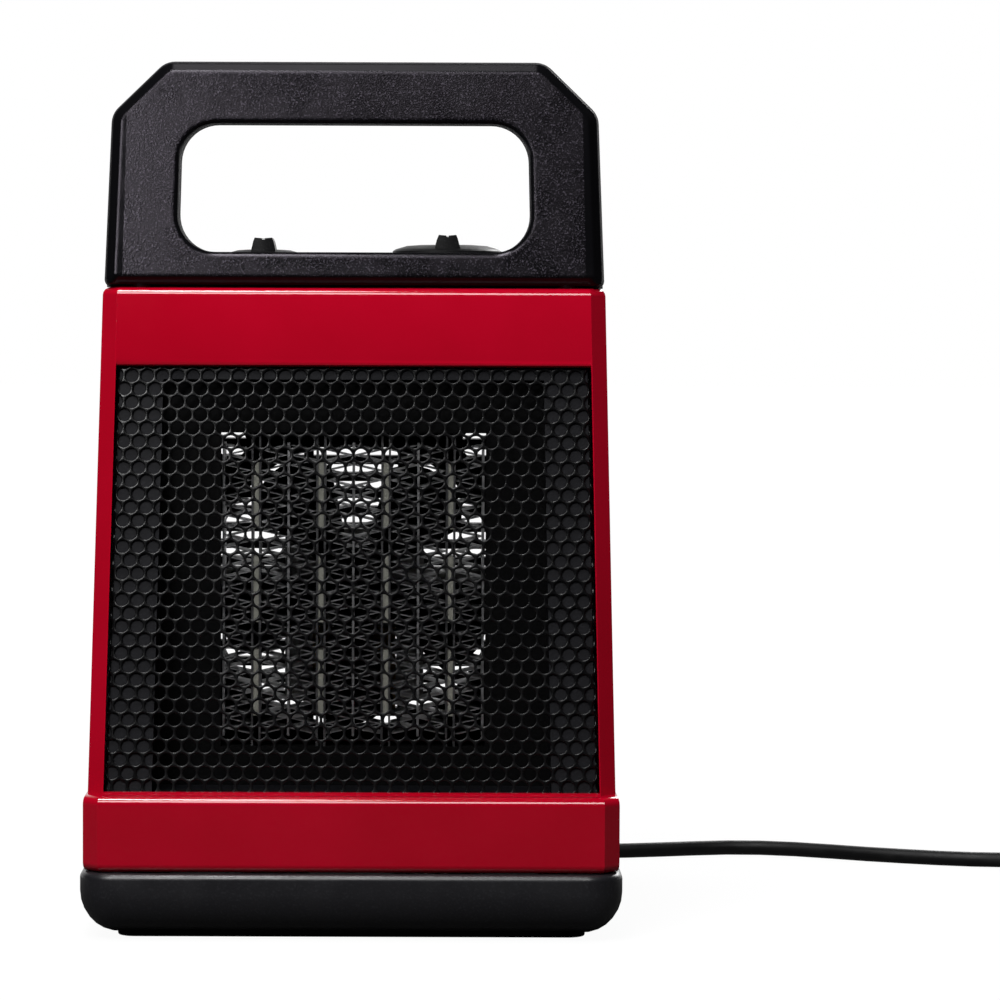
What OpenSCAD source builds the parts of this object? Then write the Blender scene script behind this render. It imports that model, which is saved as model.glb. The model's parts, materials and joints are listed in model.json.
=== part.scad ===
// Portable electric heater: leaning casing on a base tray, perforated front grille,
// ceramic heater block, fan, carrying handle and two knobs. Front is -Y, floor is z = 0.

/* [Casing] */
// Overall width, across the base
body_w = 210; // [200:1:230]
// Overall depth, across the base
body_d = 150; // [148:1:170]
// Height of the leaning front face
face_h = 196; // [190:1:215]
// Backward lean of the front face, degrees
front_lean = 10; // [9:0.25:10.5]
// Forward lean of the rear face, degrees
rear_lean = 4; // [3:0.25:4.5]
// Inward lean of the side faces, degrees
side_lean = 1; // [0.5:0.25:1.5]
// Moulded wall thickness
wall = 2.6; // [2.2:0.1:3]
// Chamfer on the upright front edges
corner_cut = 6; // [4:0.5:7]
// Depth of the front bezel behind the front face
bezel_d = 30; // [26:1:34]
// Height of the upper band over the grille
upper_band_h = 31; // [28:1:36]
// Set-in of the casing sides from the base sides
side_in = 2.6; // [2:0.2:5]
// Set-in of the front face's foot from the base front
front_in = 13; // [12:0.5:14]
// Set-in of the rear face's foot from the base rear
rear_in = 9; // [8:0.5:10]

/* [Base] */
// Top of the base tray above the floor
base_h = 26.5; // [22:0.5:30]
// Rounding of the tray's lower edge
base_round = 16; // [10:1:18]
// Rounding of the tray's corners in plan
base_corner = 14; // [10:1:20]
// Height of the foot strips below the tray
foot_h = 2.7; // [2:0.1:4]
// Half length of a foot strip
foot_x = 91; // [70:1:92]
// Width of a foot strip
foot_w = 14; // [10:1:16]
// Height of the lower band
band_h = 29.5; // [26:0.5:34]
// Set-in of the lower band's front from the base front
band_front_in = 3.5; // [2.5:0.5:5]

/* [Grille] */
// Pitch of the round holes
hole_pitch = 6; // [5.6:0.1:7]
// Diameter of the round holes
hole_d = 5; // [4:0.1:5.2]
// Sheet thickness
sheet_t = 0.8; // [0.6:0.1:1]
// Depth of the sheet's bent side edges
sheet_flange = 9; // [6:0.5:11]
// Margin of the inner frame behind the grille, at the sides
baffle_margin = 18.5; // [16:0.5:20]

/* [Handle] */
// Height of the handle above the casing
handle_h = 90; // [80:1:100]
// Thickness of the handle, front to rear
handle_t = 26; // [24:0.5:27]
// Half width of the hand opening
grip_x = 70; // [55:1:72]
// Height of the hand opening
grip_h = 51; // [44:1:54]
// Height of the bar under the hand opening
grip_low = 14; // [13:0.5:16]
// Size of the cut top corners
handle_cut = 21; // [14:1:26]
// Width of the bevel round the handle's faces
handle_bevel = 3.4; // [2:0.2:4]

/* [Controls] */
// Height of the control deck above the casing
deck_h = 11.5; // [10:0.5:12.5]
// Distance of each knob from the middle
knob_x = 37; // [32:0.5:44]
// Diameter of the thermostat knob
thermostat_d = 44; // [36:1:46]
// Diameter of the selector knob
selector_d = 29; // [26:1:40]
// Diameter of the control shafts
control_shaft_d = 6; // [5:0.5:6.5]

/* [Heater] */
// Height of the heater block's middle above the floor
heater_z = 133; // [130:1:138]
// Height of the fin columns
fin_h = 116; // [100:2:120]
// Depth of the heater block, front to rear
fin_d = 16; // [12:0.5:16.5]
// Distance between neighbouring ceramic bars
bar_pitch = 25.6; // [22:0.2:26]
// Thickness of a ceramic stone
stone_t = 2.1; // [1.8:0.1:2.6]
// Thickness of an electrode plate
plate_t = 0.8; // [0.6:0.1:1]
// Upright distance between neighbouring fin legs
leg_pitch = 2; // [1.8:0.1:3]

/* [Fan] */
// Diameter over the blades
fan_d = 112; // [96:2:116]
// Depth of the blades
fan_depth = 14; // [10:1:15]
// Number of blades
blade_count = 5; // [4:1:7]
// Diameter of the motor shaft
shaft_d = 4; // [3:0.5:5]
// Thickness of the lamination stack
stack_t = 15; // [12:1:16]

/* [Cord] */
// Diameter of the mains cord
cord_d = 6.5; // [5.5:0.1:6.6]
// Turns in each layer of the coil
coil_turns = 3; // [2:1:4]
// Radius of the coil's innermost turn
coil_r = 26.5; // [26:0.5:30]
// Distance between neighbouring turns and layers
coil_pitch = 7.1; // [7.05:0.05:8]

/* [Hidden] */

red = [0.62, 0.01, 0.07];
black = [0.1, 0.1, 0.11];
dark_metal = [0.15, 0.15, 0.16];
steel = [0.7, 0.71, 0.72];
aluminium = [0.8, 0.8, 0.8];
ceramic = [0.75, 0.73, 0.66];
copper = [0.62, 0.3, 0.14];
brass = [0.8, 0.65, 0.3];
ivory = [0.85, 0.83, 0.76];

// Gaps: moulded seams, loose assembly, free running, shafts in their bores
seam = 0.1;
slack = 0.3;
running = 0.6;
shaft_gap = 0.05;
far = 400;
$fn = 48;

// Levels of the casing
band_top = base_h + band_h;
casing_top = band_top + face_h;
window_low = band_top + 0.8;
window_top = casing_top - upper_band_h;
window_bevel = 3;
deck_z = casing_top + deck_h;

// The leaning faces, as places at a height
function side_x(z) = body_w / 2 - side_in - (z - band_top) * tan(side_lean);
function front_y(z) = -body_d / 2 + front_in + (z - band_top) * tan(front_lean);
function rear_y(z) = body_d / 2 - rear_in - (z - band_top) * tan(rear_lean);
function handle_y(z) = front_y(z) + handle_t;
post_land = 0.4;
function window_x(z) = side_x(z) - corner_cut - post_land;

// Lower band
band_proud = 1.2;
band_round = 3.4;
band_x = side_x(band_top) + band_proud;
band_front = -body_d / 2 + band_front_in;
band_rear = rear_y(band_top) + band_proud;
rear_cut = 5;
top_round = 3;
arc_steps = 4;

// Chamfered rectangle in plan at height z
function cut_ring(x, f, r, c, rc, z) = [
    [-x + c, f, z], [x - c, f, z], [x, f + c, z], [x, r - rc, z],
    [x - rc, r, z], [-x + rc, r, z], [-x, r - rc, z], [-x, f + c, z]];
// Chamfers keep the wall even when a ring is grown or shrunk by g
function grown(c, g) = c + g * (2 - sqrt(2));
function casing_ring(z, g = 0) = cut_ring(side_x(z) + g, front_y(z) - g, rear_y(z) + g,
    grown(corner_cut, g), grown(rear_cut, g), z);
function band_ring(z, g = 0, share = 0) = cut_ring(
    band_x + g - share * band_proud, band_front - g + share * band_round,
    band_rear + g - share * band_proud, grown(corner_cut, g), grown(rear_cut, g), z);
// Rectangle with round corners in plan
function round_ring(x, y, r, z) = [for (k = [0:3], a = [0:18:90])
    let (sx = k == 0 || k == 3 ? 1 : -1, sy = k < 2 ? 1 : -1)
        [sx * (x - r) + r * cos(a + 90 * k), sy * (y - r) + r * sin(a + 90 * k), z]];

// Solid through a stack of rings with equal counts of points
module loft(rings) {
    n = len(rings[0]);
    last = (len(rings) - 1) * n;
    sides = [for (k = [0:len(rings) - 2], i = [0:n - 1], half = [0, 1])
        let (a = k * n + i, b = k * n + (i + 1) % n)
            half == 0 ? [a, a + n, b + n] : [a, b + n, b]];
    polyhedron([for (ring = rings) each ring],
        concat([[for (i = [0:n - 1]) i]], [[for (i = [n - 1:-1:0]) last + i]], sides));
}

// Frames of the leaning faces: x across, y up the face, z outward
module on_front() translate([0, front_y(band_top), band_top]) rotate([90 - front_lean, 0, 0]) children();
module on_rear() translate([0, rear_y(band_top), band_top]) rotate([rear_lean, 0, 0])
    rotate([90, 0, 180]) children();
function up_front(z) = (z - band_top) / cos(front_lean);
function up_rear(z) = (z - band_top) / cos(rear_lean);
// Shape drawn in x and z, standing from y0 to y1
module upright(y0, y1) translate([0, y1, 0]) rotate([90, 0, 0]) linear_extrude(y1 - y0) children();
module along_y(x, z, y0, y1, r) translate([x, y0, z]) rotate([-90, 0, 0]) cylinder(r = r, h = y1 - y0);

// Casing shell, later parted into bezel and rear housing
module casing_solid() loft(concat(
    [for (k = [0:arc_steps]) let (a = 90 * k / arc_steps)
        band_ring(base_h + seam + band_round * (1 - cos(a)), 0, 1 - sin(a))],
    [for (k = [0:arc_steps]) let (a = 90 * k / arc_steps)
        band_ring(band_top - band_round * (1 - sin(a)), 0, 1 - cos(a))],
    [casing_ring(band_top, -0.01)],
    [for (k = [0:arc_steps]) let (a = 90 * k / arc_steps)
        casing_ring(casing_top - top_round * (1 - sin(a)), -top_round * (1 - cos(a)))]));
module casing_hollow() loft([band_ring(base_h + wall, -wall), band_ring(band_top - wall, -wall),
    casing_ring(band_top - wall, -wall), casing_ring(casing_top - wall, -wall)]);
floor_x = 62;
floor_front = -24;
floor_rear = 46;
roof_x = 66;
knob_y = (handle_y(deck_z) + rear_y(deck_z)) / 2;
control_gap = 5.2;
control_d = 2 * (rear_y(deck_z) - knob_y - wall - top_round - control_gap);
roof_half_d = control_d / 2 + 4;
module casing_shell() difference() {
    casing_solid();
    casing_hollow();
    translate([-floor_x, floor_front, base_h - 1]) cube([2 * floor_x, floor_rear - floor_front, wall + 2]);
    translate([-roof_x, knob_y - roof_half_d, casing_top - wall - 1])
        cube([2 * roof_x, 2 * roof_half_d, wall + 2]);
}
part_depth = bezel_d * cos(front_lean);
module before(depth) on_front() translate([-far, -far, -depth]) cube(2 * far);
module behind(depth) on_front() translate([-far, -far, -depth - 2 * far]) cube(2 * far);

// Case screws: four along the depth, from the rear into the bezel
screw_r = 1.7;
screw_bore = 1.75;
screw_pass = 2.2;
head_r = 3.6;
head_h = 2.6;
head_pass = 4;
boss_r = 5.2;
case_screw_x = 84;
case_screw_z = [base_h + 14, casing_top - 14];
head_sink = 5;
function case_front(z) = z < band_top ? band_front : front_y(z);
function case_rear(z) = z < band_top ? band_rear : rear_y(z);
module case_bosses() for (z = case_screw_z, s = [-1, 1])
    along_y(s * case_screw_x, z, case_front(z) + wall / 2, case_rear(z) - wall / 2, boss_r);
module case_bores(r, y_from) for (z = case_screw_z, s = [-1, 1])
    along_y(s * case_screw_x, z, case_front(z) + y_from, case_rear(z) + 1, r);
screw_tip = 12;

// Two screws through the roof into the handle's legs
handle_foot_in = 21;
handle_foot_back = 8.2;
handle_foot_x = body_w / 2 - handle_foot_in;
handle_foot_y = front_y(casing_top) + handle_foot_back;
handle_foot_h = 13;
module at_handle_feet() for (s = [-1, 1])
    translate([s * handle_foot_x, handle_foot_y, casing_top]) children();

// Window of the front grille, with a bevelled upper edge
module window_cut() {
    upright(-far, front_y(window_top) + wall * 2) polygon([
        [-window_x(window_low), window_low], [window_x(window_low), window_low],
        [window_x(window_top), window_top], [-window_x(window_top), window_top]]);
    x = window_x(window_top + window_bevel);
    corner = [front_y(window_top), window_top];
    inner = corner + [wall, 0];
    outer = [front_y(window_top + window_bevel) - 0.01, window_top + window_bevel];
    curve = [for (k = [0:arc_steps]) let (s = k / arc_steps)
        inner * pow(1 - s, 2) + corner * 2 * s * (1 - s) + outer * pow(s, 2)];
    translate([-x, 0, 0]) rotate([90, 0, 90]) linear_extrude(2 * x) polygon(concat(
        [inner - [0, 1]], curve, [[corner.x - wall, outer.y], [corner.x - wall, inner.y - 1]]));
}

module front_bezel() color(red) difference() {
    intersection() {
        union() {
            casing_shell();
            case_bosses();
        }
        before(part_depth);
    }
    window_cut();
    case_bores(screw_bore, screw_tip - 2);
    at_handle_feet() translate([0, 0, -wall - 1]) cylinder(r = screw_pass, h = wall + 2);
}

// Rear intake
intake_x = 60;
intake_low = band_top + 8;
intake_top = band_top + 146;
intake_lip = 5;
intake_t = 2;
slot_pitch = 7;
slot_h = 3.4;
mullion = 4;
slot_margin = 4;
slot_w = (2 * intake_x - 2 * slot_margin - 2 * mullion) / 3;
function intake_mid() = (up_rear(intake_low) + up_rear(intake_top)) / 2;
intake_h = up_rear(intake_top) - up_rear(intake_low);
module intake_field(g) translate([0, intake_mid()])
    square([2 * (intake_x + g), intake_h + 2 * g], center = true);

// Strain relief
relief_x = 44;
relief_z = 39;
relief_r = 7;
relief_neck = 5.6;
relief_len = 20.3;
relief_y = band_rear + relief_len;
relief_flange = 2.5;
relief_inner = band_rear - wall - seam - relief_flange;

module rear_housing() color(black) difference() {
    intersection() {
        union() {
            casing_shell();
            case_bosses();
            base_bosses();
        }
        behind(part_depth + seam);
    }
    on_rear() translate([0, 0, -wall * 3]) linear_extrude(wall * 6) intake_field(slack);
    case_bores(screw_pass, screw_tip);
    for (z = case_screw_z, s = [-1, 1])
        along_y(s * case_screw_x, z, case_rear(z) - head_sink, case_rear(z) + 1, head_pass);
    base_bores(screw_bore, 0);
    along_y(relief_x, relief_z, band_rear - wall * 2, band_rear + 1, relief_neck + seam);
}

module rear_grille() color(black) on_rear() {
    inner = wall / cos(rear_lean) + seam;
    difference() {
        union() {
            translate([0, 0, -inner - intake_t]) linear_extrude(intake_t) intake_field(intake_lip);
            translate([0, 0, -inner - 0.01]) linear_extrude(inner) intake_field(0);
        }
        translate([0, 0, -wall * 3]) linear_extrude(wall * 4) {
            count = floor((intake_h - slot_h) / slot_pitch);
            for (k = [-count / 2:count / 2], s = [-1, 0, 1])
                translate([s * (slot_w + mullion), intake_mid() + k * slot_pitch])
                    square([slot_w, slot_h], center = true);
        }
    }
}

// Base tray
tray_low = foot_h;
tray_t = 2.6;
foot_sink = 1;
foot_y = body_d / 2 - base_round - 9;
tray_top_round = 2.5;
module tray_solid() {
    n = 7;
    loft(concat(
        [for (k = [0:n]) let (i = base_round * (1 - sin(90 * k / n)))
            round_ring(body_w / 2 - i, body_d / 2 - i, max(base_corner - i, 2),
                tray_low + base_round * (1 - cos(90 * k / n)))],
        [for (k = [0:arc_steps]) let (a = 90 * k / arc_steps, i = tray_top_round * (1 - cos(a)))
            round_ring(body_w / 2 - i, body_d / 2 - i, base_corner - i,
                base_h - tray_top_round * (1 - sin(a)))]));
}
module tray_hollow() {
    n = 4;
    r = base_round - tray_t;
    x = body_w / 2 - tray_t * 2;
    y = body_d / 2 - tray_t * 2;
    loft(concat(
        [for (k = [0:n]) let (i = r * (1 - sin(90 * k / n)))
            round_ring(x - i, y - i, max(base_corner - tray_t - i, 2),
                tray_low + tray_t + r * (1 - cos(90 * k / n)))],
        [round_ring(x, y, base_corner - tray_t, base_h + 1)]));
}
base_screw_x = 80;
base_screw_in = 45;
base_screw_y = body_d / 2 - base_screw_in;
base_boss_h = 12;
base_screw_top = base_h + base_boss_h;
module at_base_screws() for (sx = [-1, 1], sy = [-1, 1])
    translate([sx * base_screw_x, sy * base_screw_y, 0]) children();
module base_bosses() at_base_screws() translate([0, 0, base_h + seam + 0.5])
    cylinder(r = boss_r, h = base_screw_top - base_h);
module base_bores(r, z) at_base_screws() translate([0, 0, z]) cylinder(r = r, h = base_screw_top - z - 2);
module foot_outline(g) {
    square([2 * foot_x - foot_w, foot_w + 2 * g], center = true);
    for (s = [-1, 1]) translate([s * (foot_x - foot_w / 2), 0]) circle(d = foot_w + 2 * g);
}
module base_tray() color(black) difference() {
    union() {
        difference() {
            tray_solid();
            tray_hollow();
        }
        at_base_screws() translate([0, 0, tray_low + tray_t / 2])
            cylinder(r = boss_r, h = base_h - tray_low - tray_t / 2);
    }
    base_bores(screw_pass, -1);
    at_base_screws() translate([0, 0, -1]) cylinder(r = head_pass, h = tray_low + head_sink + 1);
    for (s = [-1, 1]) translate([0, s * foot_y, 0]) linear_extrude(tray_low + foot_sink) foot_outline(slack);
}
module foot_strips() color([0.06, 0.06, 0.06]) for (s = [-1, 1]) translate([0, s * foot_y, 0])
    linear_extrude(tray_low + foot_sink - seam) foot_outline(0);

// Screw along +Z with its head's underside at the origin
module screw(length) {
    cylinder(r = screw_r, h = length);
    translate([0, 0, -head_h]) difference() {
        cylinder(r = head_r, h = head_h);
        for (a = [0, 90]) rotate([0, 0, a]) translate([-head_r * 0.6, -0.5, -1]) cube([head_r * 1.2, 1, 2]);
    }
}
module base_screws() color(steel) at_base_screws() translate([0, 0, tray_low + head_sink - seam])
    screw(base_screw_top - tray_low - head_sink - 4);
module case_screws() color(steel) for (z = case_screw_z, s = [-1, 1])
    translate([s * case_screw_x, case_rear(z) - head_sink + seam, z]) rotate([90, 0, 0])
        screw(case_rear(z) - head_sink - case_front(z) - screw_tip - 2);

// Handle: two hollow shells meeting on a leaning middle plane
function unit(v) = v / norm(v);
function corner_dir(p, i) =
    let (n = len(p), u = unit(p[(i + n - 1) % n] - p[i]), v = unit(p[(i + 1) % n] - p[i]))
        unit(u + v) / sqrt((1 - u * v) / 2);
function shrunk(p, d) = [for (i = [0:len(p) - 1]) p[i] + corner_dir(p, i) * d];
function fillet(p, i, r, count) =
    let (n = len(p), u = unit(p[(i + n - 1) % n] - p[i]), v = unit(p[(i + 1) % n] - p[i]),
        c = p[i] + corner_dir(p, i) * r, half = acos(u * v) / 2, t = r / tan(half),
        s = p[i] + u * t - c, a0 = atan2(s.y, s.x), turn = (180 - 2 * half) / (count - 1))
        [for (k = [0:count - 1]) c + r * [cos(a0 + turn * k), sin(a0 + turn * k)]];
function outline(p, radii, counts, d) = let (q = shrunk(p, d))
    [for (i = [0:len(p) - 1]) each fillet(q, i, max(radii[i] - d, 0.4), counts[i])];
handle_top = casing_top + handle_h;
handle_low = casing_top + seam;
handle_shoulder = handle_top - handle_cut;
handle_corners = [[-side_x(handle_low), handle_low], [side_x(handle_low), handle_low],
    [side_x(handle_shoulder) - 1, handle_shoulder], [side_x(handle_top) - 1 - handle_cut, handle_top],
    [-side_x(handle_top) + 1 + handle_cut, handle_top], [-side_x(handle_shoulder) + 1, handle_shoulder]];
grip_z = casing_top + grip_low;
grip_draft = 1;
grip_corners = [[-grip_x, grip_z], [grip_x, grip_z], [grip_x - grip_draft, grip_z + grip_h],
    [-grip_x + grip_draft, grip_z + grip_h]];
grip_r = 15;
handle_draft = 1.2;
grip_edge = 1.4;
foot_round = 3;
shoulder_round = 9;
function handle_outer(d) = outline(handle_corners,
    [foot_round, foot_round, shoulder_round, shoulder_round, shoulder_round, shoulder_round],
    [12, 12, 6, 6, 6, 6], d);
function handle_inner(d) = outline(grip_corners, [grip_r, grip_r, grip_r, grip_r], [12, 12, 12, 12], -d);
// Rings of one shell, from the middle plane over the face and back inside; side is 1 at the front
function shell_ring(points, depth, side) = [for (p = points)
    [p.x, front_y(p.y) + (side > 0 ? depth : handle_t - depth), p.y]];
module handle_shell(side) {
    half = handle_t / 2 - seam / 2;
    rings = [shell_ring(handle_outer(0), half, side),
        shell_ring(handle_outer(handle_draft), handle_bevel, side),
        shell_ring(handle_outer(handle_draft + handle_bevel), 0, side),
        shell_ring(handle_inner(grip_edge), 0, side), shell_ring(handle_inner(0), grip_edge, side),
        shell_ring(handle_inner(0), half, side), shell_ring(handle_inner(wall), half, side),
        shell_ring(handle_inner(wall), wall, side),
        shell_ring(handle_outer(handle_draft + handle_bevel), wall, side),
        shell_ring(handle_outer(handle_draft + wall), handle_bevel + 1, side),
        shell_ring(handle_outer(wall), half, side)];
    n = len(rings[0]);
    m = len(rings);
    faces = [for (k = [0:m - 1], i = [0:n - 1], part = [0, 1])
        let (j = (i + 1) % n, here = k * n, next = (k + 1) % m * n,
            a = here + i, b = here + j, c = next + i, d = next + j)
            side > 0 ? (part == 0 ? [a, c, d] : [a, d, b]) : (part == 0 ? [a, d, c] : [a, b, d])];
    polyhedron([for (ring = rings) each ring], faces);
}
// Four screws from the rear hold the shells together
leg_screw_z = casing_top + 42;
handle_screw_at = [[(side_x(leg_screw_z) + grip_x) / 2, leg_screw_z],
    [40, handle_top - (handle_h - grip_low - grip_h) / 2]];
handle_boss_r = 4.4;
module handle_bosses(y0, y1) for (p = handle_screw_at, s = [-1, 1])
    along_y(s * p.x, p.y, front_y(p.y) + y0, front_y(p.y) + y1, handle_boss_r);
module handle_bores(y0, y1, r) for (p = handle_screw_at, s = [-1, 1])
    along_y(s * p.x, p.y, front_y(p.y) + y0, front_y(p.y) + y1, r);
boss_gap = 1;
boss_root = 0.8;
module handle_front() color(black) difference() {
    union() {
        handle_shell(1);
        handle_bosses(wall - boss_root, handle_t / 2 - boss_gap / 2);
        at_handle_feet() translate([0, 0, seam]) cylinder(r = handle_boss_r, h = handle_foot_h);
    }
    handle_bores(wall + boss_root * 2, handle_t, screw_bore);
    at_handle_feet() cylinder(r = screw_bore, h = handle_foot_h - 1);
}
module handle_rear() color(black) difference() {
    union() {
        handle_shell(-1);
        handle_bosses(handle_t / 2 + boss_gap / 2, handle_t - wall + boss_root);
    }
    handle_bores(0, handle_t + 3, screw_pass);
    handle_bores(handle_t - head_sink, handle_t + 3, head_pass);
}
module handle_screws() color(steel) {
    for (p = handle_screw_at, s = [-1, 1])
        translate([s * p.x, front_y(p.y) + handle_t - head_sink + seam, p.y]) rotate([90, 0, 0])
            screw(handle_t - head_sink - wall - 3);
    at_handle_feet() translate([0, 0, -wall - seam]) screw(wall + handle_foot_h - 3);
}

// Top cover with the control deck
deck_bevel = 2.4;
deck_cut = 1.5;
function deck_ring(z, g) = cut_ring(side_x(z) + g, handle_y(z) + slack - g, rear_y(z) + g,
    deck_cut, grown(rear_cut, g), z);
bushing_r = 5;
module top_cover() color(black) difference() {
    loft([deck_ring(casing_top + seam, 0), deck_ring(deck_z - deck_bevel, 0),
        deck_ring(deck_z, -deck_bevel)]);
    loft([deck_ring(casing_top - 1, -wall - top_round), deck_ring(deck_z - wall, -wall - top_round)]);
    for (s = [-1, 1]) translate([s * knob_x, knob_y, 0]) cylinder(r = bushing_r + seam, h = far);
}

// Front grille: perforated sheet with its side edges bent back
sheet_recess = 3.2;
sheet_low = band_top - 3.5;
sheet_top = window_top + 5;
row_pitch = hole_pitch * sqrt(3) / 2;
function sheet_x(z) = window_x(z) - slack;
module sheet_outline(inset) polygon([
    [-sheet_x(sheet_low) + inset, up_front(sheet_low)], [sheet_x(sheet_low) - inset, up_front(sheet_low)],
    [sheet_x(sheet_top) - inset, up_front(sheet_top)], [-sheet_x(sheet_top) + inset, up_front(sheet_top)]]);
hole_edge = 4.2;
hole_sides = 24;
module front_grille() color(dark_metal) on_front() {
    rows = floor((up_front(sheet_top) - up_front(sheet_low) - hole_pitch) / row_pitch);
    columns = ceil(sheet_x(sheet_low) / hole_pitch);
    translate([0, 0, -sheet_recess - sheet_t]) linear_extrude(sheet_t) difference() {
        sheet_outline(0);
        for (row = [0:rows], column = [-columns:columns])
            let (x = (column + (row % 2) / 2) * hole_pitch,
                y = up_front(sheet_top) - hole_pitch / 2 - row * row_pitch)
                if (abs(x) < sheet_x(band_top + y) - hole_edge)
                    translate([x, y]) circle(d = hole_d, $fn = hole_sides);
    }
    translate([0, 0, -sheet_recess - sheet_flange]) linear_extrude(sheet_flange - sheet_t / 2) difference() {
        sheet_outline(0);
        sheet_outline(sheet_t);
        translate([-far / 2, up_front(sheet_low) - 1]) square([far, 4]);
    }
}

// Inner frame behind the grille, with the duct to the heater
baffle_gap = 0.2;
baffle_t = 2;
baffle_w = sheet_recess + sheet_t + baffle_gap;
duct_low = window_low - 1;
duct_top = window_top - 5;
duct_t = 2;
frame_top = duct_top + duct_t + 1;
frame_y = front_y(frame_top) + (baffle_w + baffle_t) / cos(front_lean) + 1;
function duct_x(z) = window_x(z) - baffle_margin;
module duct_outline(g) polygon([
    [-duct_x(duct_low) - g, duct_low - g], [duct_x(duct_low) + g, duct_low - g],
    [duct_x(duct_top) + g, duct_top + g], [-duct_x(duct_top) - g, duct_top + g]]);
module grille_baffle() color(black) difference() {
    union() {
        on_front() translate([0, 0, -baffle_w - baffle_t]) linear_extrude(baffle_t)
            sheet_outline(sheet_t + slack);
        intersection() {
            upright(-far, frame_y - seam) duct_outline(duct_t);
            behind(baffle_w + baffle_t / 2);
        }
    }
    upright(-far, far) duct_outline(0);
}

// Heater block: bars of ceramic stones between electrodes, with zigzag fins on both sides
bar_count = 4;
stone_gap = 0.05;
bar_t = stone_t + 2 * stone_gap + 2 * plate_t;
separator_t = 0.9;
column_w = (bar_pitch - bar_t - separator_t) / 2;
block_x = bar_count * bar_pitch / 2;
frame_t = 2.5;
block_y = frame_y + frame_t + 0.2;
function bar_x(k) = (k - (bar_count - 1) / 2) * bar_pitch;
fin_low = heater_z - fin_h / 2;
fin_top = heater_z + fin_h / 2;
rail_gap = 4;
bar_reach = 5;
rail_h = 10;
rail_x = block_x + 4;
fin_t = 0.3;
fin_gap = 0.06;
module strip(x, z0, z1, t, inset) translate([x - t / 2, block_y + inset, z0])
    cube([t, fin_d - 2 * inset, z1 - z0]);

module heater_fins() color(aluminium) for (k = [0:bar_count - 1], s = [-1, 1]) {
    legs = floor(fin_h / leg_pitch) - 1;
    half_t = fin_t * column_w / leg_pitch / 2;
    reach = column_w / 2 - fin_gap - half_t;
    middle = bar_x(k) + s * (bar_t + column_w) / 2;
    bends = [for (i = [0:legs]) [middle + (i % 2 == 0 ? -s : s) * reach, fin_low + (i + 0.5) * leg_pitch]];
    upright(block_y, block_y + fin_d) polygon(concat(
        [for (i = [0:legs]) bends[i] + [half_t, 0]],
        [for (i = [legs:-1:0]) bends[i] - [half_t, 0]]));
}
stone_h = 26;
stone_step = 37;
stone_inset = 0.8;
plate_inset = 0.4;
bar_low = fin_low - rail_gap - bar_reach;
bar_top = fin_top + rail_gap + bar_reach;
module ceramic_stones() color(ceramic) for (k = [0:bar_count - 1], i = [-1, 0, 1])
    let (z = heater_z + i * stone_step)
        strip(bar_x(k), z - stone_h / 2, z + stone_h / 2, stone_t, stone_inset);
module electrode_plates() color(aluminium) for (k = [0:bar_count - 1], s = [-1, 1])
    strip(bar_x(k) + s * (bar_t - plate_t) / 2, bar_low, bar_top, plate_t, plate_inset);
module separator_plates() color(aluminium) {
    for (k = [0:bar_count]) strip((k - bar_count / 2) * bar_pitch, fin_low, fin_top, separator_t, 0);
}
module heater_rails() color([0.2, 0.19, 0.18]) for (top = [true, false]) difference() {
    translate([-rail_x, block_y, top ? fin_top + rail_gap : fin_low - rail_gap - rail_h])
        cube([2 * rail_x, fin_d, rail_h]);
    for (k = [0:bar_count - 1])
        strip(bar_x(k), top ? fin_top : bar_low - slack, top ? bar_top + slack : fin_low,
            bar_t + 2 * stone_gap, plate_inset - stone_gap);
}

// Upright plate that carries the heater block and the fan tunnel
frame_low = duct_low - duct_t - 1;
function frame_x() = duct_x(duct_low) + duct_t + 1;
module heater_frame() color(black) difference() {
    upright(frame_y, frame_y + frame_t)
        translate([0, (frame_low + frame_top) / 2])
            square([2 * frame_x(), frame_top - frame_low], center = true);
    upright(-far, far) translate([0, heater_z])
        square([2 * block_x + separator_t + 1, fin_h + 2 * rail_gap], center = true);
}
tunnel_x = block_x + 8;
tunnel_half = fin_h / 2 + rail_gap + rail_h + 2;
tunnel_t = 2.4;
tunnel_y = frame_y + frame_t + seam;
fan_gap = 3;
core_gap = 8;
fan_y = block_y + fin_d + fan_gap;
core_y = fan_y + fan_depth + core_gap;
plate_y = core_y - seam - 2;
plate_h = 2;
tunnel_end = plate_y - seam;
lug_x = tunnel_x + 6;
lug_r = 5;
// Plate round the fan with its orifice, and a vent in each upper corner
orifice_t = 2;
orifice_y = fan_y + (fan_depth - orifice_t) / 2;
tip_gap = 1.5;
vent_at = [49, 57];
vent_r = 6;
module fan_tunnel() color(black) difference() {
    union() {
        upright(tunnel_y, tunnel_end) translate([0, heater_z])
            square([2 * (tunnel_x + tunnel_t), 2 * (tunnel_half + tunnel_t)], center = true);
        upright(tunnel_y, tunnel_y + tunnel_t) translate([0, heater_z])
            square([2 * (tunnel_x + 10), 2 * tunnel_half - 20], center = true);
        for (s = [-1, 1]) along_y(s * lug_x, heater_z, tunnel_end - 14, tunnel_end, lug_r);
    }
    for (y = [[-far, orifice_y], [orifice_y + orifice_t, far]]) upright(y[0], y[1])
        translate([0, heater_z]) square([2 * tunnel_x, 2 * tunnel_half], center = true);
    along_y(0, heater_z, -far, far, fan_d / 2 + tip_gap);
    for (s = [-1, 1]) along_y(s * vent_at.x, heater_z + vent_at.y, -far, far, vent_r);
    for (s = [-1, 1]) along_y(s * lug_x, heater_z, tunnel_end - 11, tunnel_end + 1, screw_bore);
}

// Fan with twisted blades on a hub
hub_r = 15;
blade_twist = 42;
blade_t = 1.6;
blade_slices = 8;
tip_round = 7;
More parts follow.
